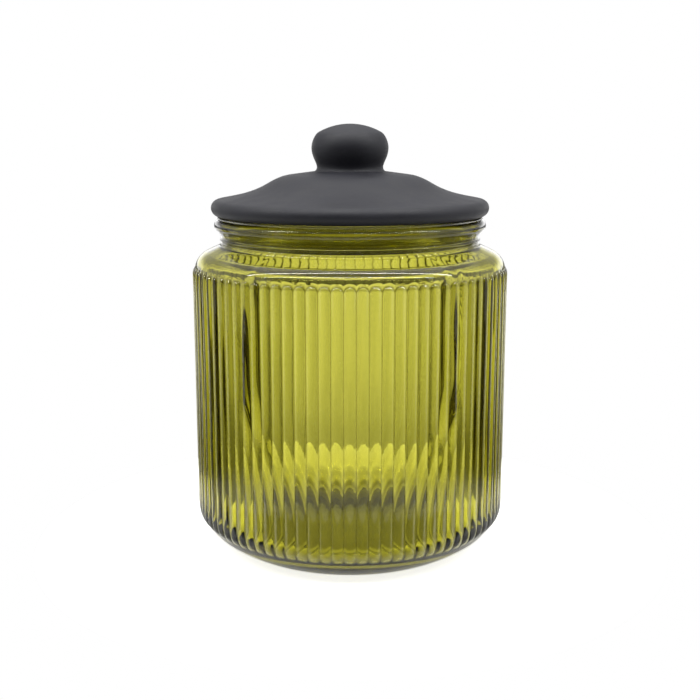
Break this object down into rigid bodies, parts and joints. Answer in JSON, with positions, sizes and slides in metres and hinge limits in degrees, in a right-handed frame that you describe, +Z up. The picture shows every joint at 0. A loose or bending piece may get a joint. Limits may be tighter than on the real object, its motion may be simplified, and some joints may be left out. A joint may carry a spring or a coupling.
{
  "type": "lidded glass storage jar",
  "caption": "Wide round storage jar of tinted ribbed glass, with a coated glass lid with a knob and a clear finned sealing ring that fills the mouth.",
  "frame": {"origin": "centre of the foot, on the surface that the jar stands on", "axes": "+Z up the jar's axis, through the middle of the mouth and the knob; a rib crest faces -Y"},
  "size_m": [0.1468, 0.1468, 0.1966],
  "materials": {
    "olive_glass": "pressed glass, tinted olive green through its whole thickness, glossy inside and out",
    "clear_seal": "soft clear plastic, slightly cloudy",
    "black_coat": "pressed glass under an opaque black coating with a fine satin grain"
  },
  "bodies": {
    "jar": {"jar_body": "olive_glass"},
    "seal": {"seal_ring": "clear_seal"},
    "lid": {"lid": "black_coat"}
  },
  "joints": [
    {"name": "lid_lift", "type": "slide", "parent": "jar", "child": "seal", "axis": [0, 0, 1], "range_m": [0, 0.15]},
    {"name": "lid_turn", "type": "hinge", "parent": "seal", "child": "lid", "pos_m": [0, 0, 0.1549], "axis": [0, 0, 1], "continuous": true}
  ]
}
